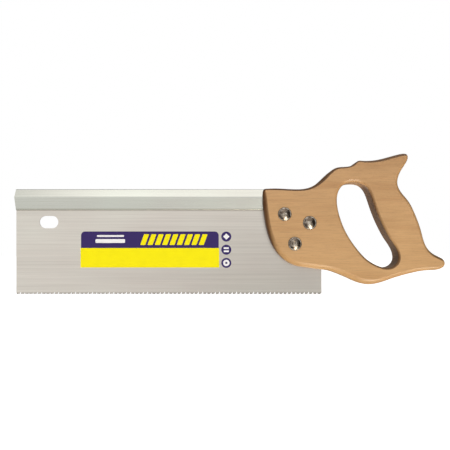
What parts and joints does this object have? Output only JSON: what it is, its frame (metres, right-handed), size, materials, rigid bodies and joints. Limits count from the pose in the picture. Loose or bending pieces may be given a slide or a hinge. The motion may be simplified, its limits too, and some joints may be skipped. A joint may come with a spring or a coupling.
{
  "type": "back saw",
  "caption": "Joinery back saw: thin rectangular plate with fine crosscut teeth, folded steel stiffening back, closed varnished wooden handle and domed saw screws.",
  "frame": {"origin": "on the line of tooth tips, at the middle of the saw's overall length, in the mid-plane of the saw plate", "axes": "+X from the toe towards the handle, +Y towards the cheek with the nuts, +Z from the teeth up to the back"},
  "size_m": [0.4246, 0.0244, 0.1392],
  "materials": {
    "plate_steel": "fine lengthwise brushing, clear lacquer",
    "back_steel": "satin zinc-plated folded sheet",
    "handle_wood": "clear satin varnish on beech",
    "screw_chrome": "polished nickel plate, a little tarnished",
    "label_purple": "screen-printed ink",
    "label_yellow": "screen-printed ink",
    "label_white": "screen-printed ink"
  },
  "bodies": {
    "root": {"saw_plate": "plate_steel", "back": "back_steel", "handle": "handle_wood", "screw_front": "screw_chrome", "screw_rear": "screw_chrome", "screw_lower": "screw_chrome", "nut_front": "screw_chrome", "nut_rear": "screw_chrome", "nut_lower": "screw_chrome", "label_band": "label_purple", "label_panel": "label_yellow", "label_badges": "label_purple"}
  },
  "joints": []
}
